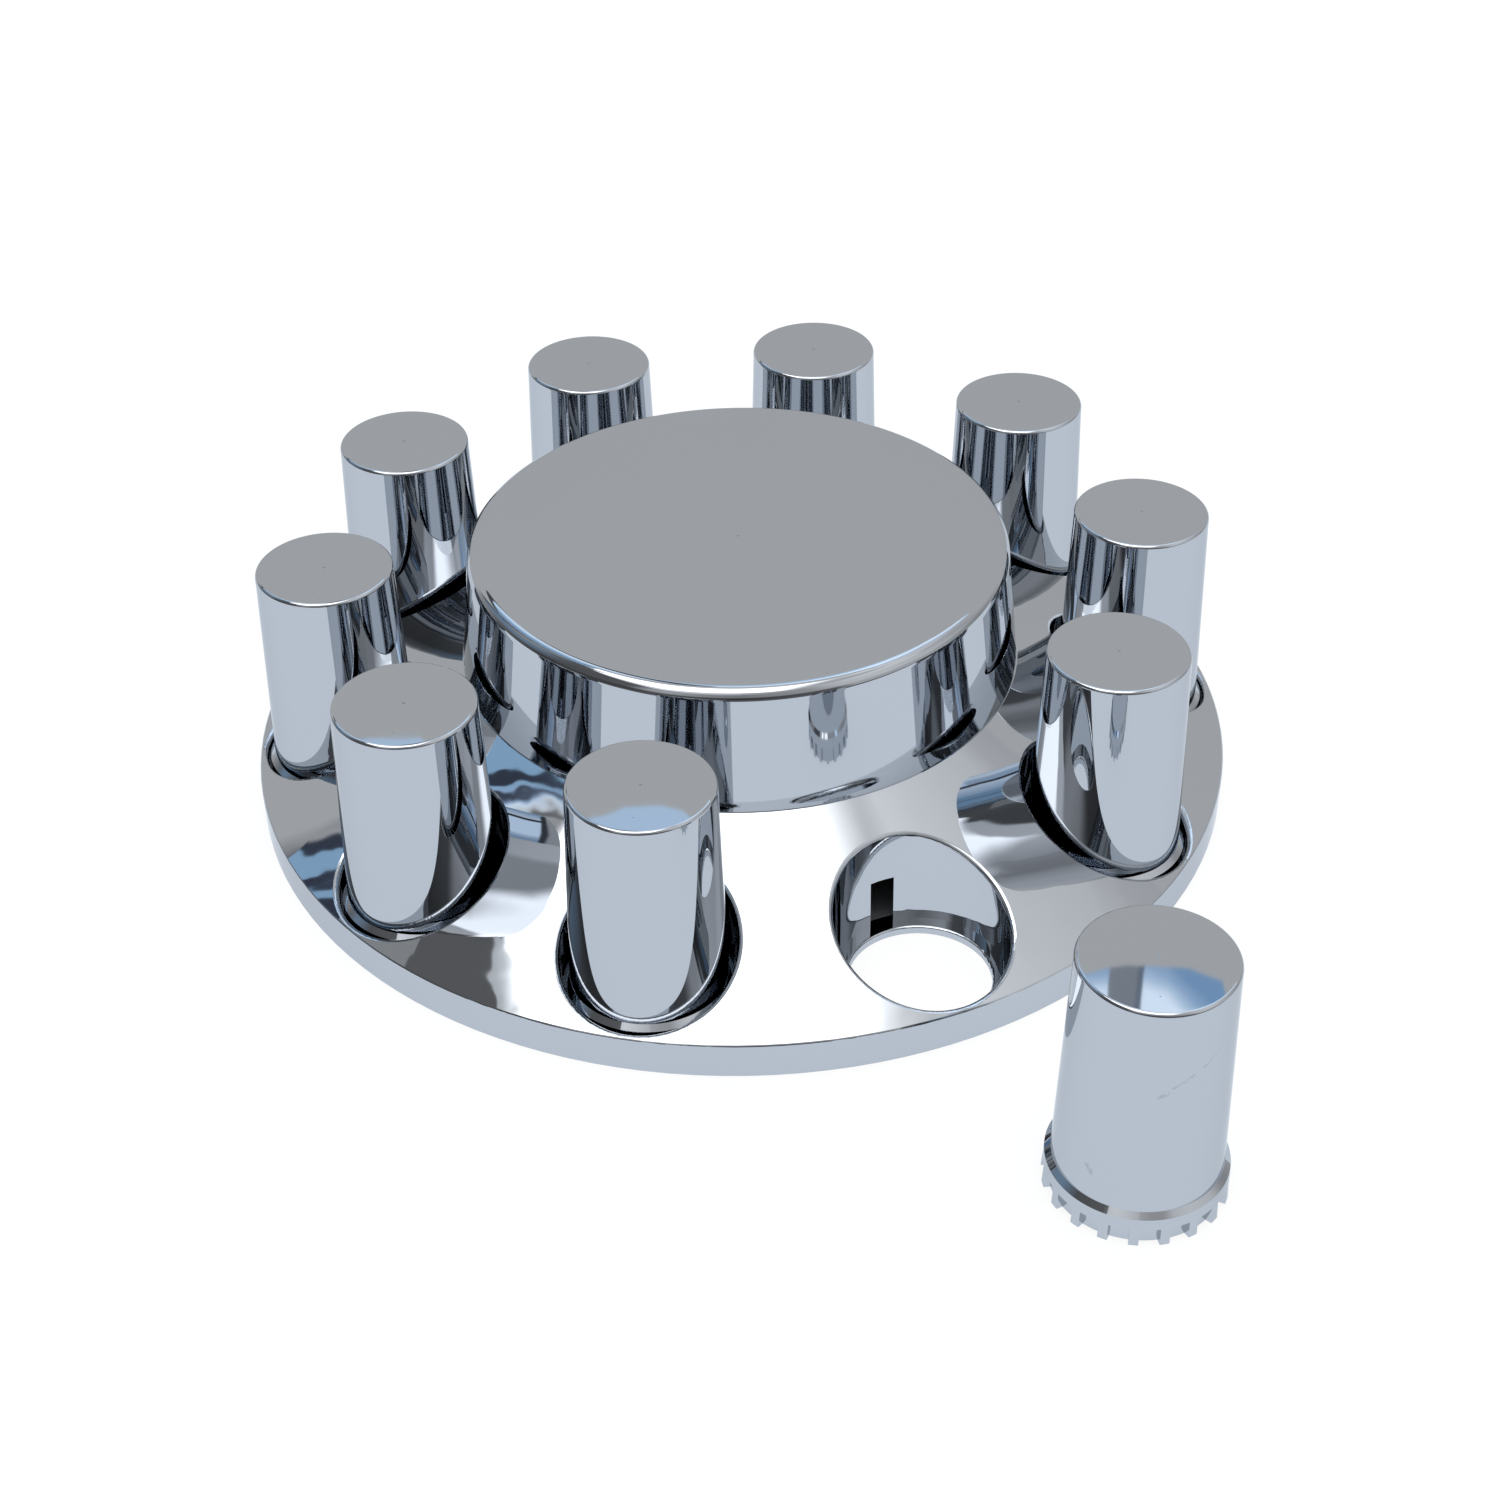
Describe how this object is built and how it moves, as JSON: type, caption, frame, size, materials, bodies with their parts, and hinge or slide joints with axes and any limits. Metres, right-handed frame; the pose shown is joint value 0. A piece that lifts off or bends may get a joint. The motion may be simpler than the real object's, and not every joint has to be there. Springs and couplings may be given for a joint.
{
  "type": "rear axle cover",
  "caption": "Chromed rear axle cover for a truck wheel: conical plate with nut sockets, flat-topped hub cap and tall nut covers, with a loose cover standing beside it.",
  "frame": {"origin": "on the wheel axis, in the plane that the rim and the sockets' feet rest on", "axes": "+Z along the wheel axis, out from the wheel; +X through the middle of a nut socket"},
  "size_m": [0.3482, 0.4315, 0.0906],
  "materials": {
    "plate_chrome": "polished",
    "cap_chrome": "polished",
    "nut_cover_chrome": "polished"
  },
  "bodies": {
    "root": {"base_cover": "plate_chrome", "hub_cap": "cap_chrome", "nut_cover_01": "nut_cover_chrome", "nut_cover_02": "nut_cover_chrome", "nut_cover_03": "nut_cover_chrome", "nut_cover_04": "nut_cover_chrome", "nut_cover_05": "nut_cover_chrome", "nut_cover_06": "nut_cover_chrome", "nut_cover_07": "nut_cover_chrome", "nut_cover_08": "nut_cover_chrome", "nut_cover_09": "nut_cover_chrome", "nut_cover_10": "nut_cover_chrome"}
  },
  "joints": []
}
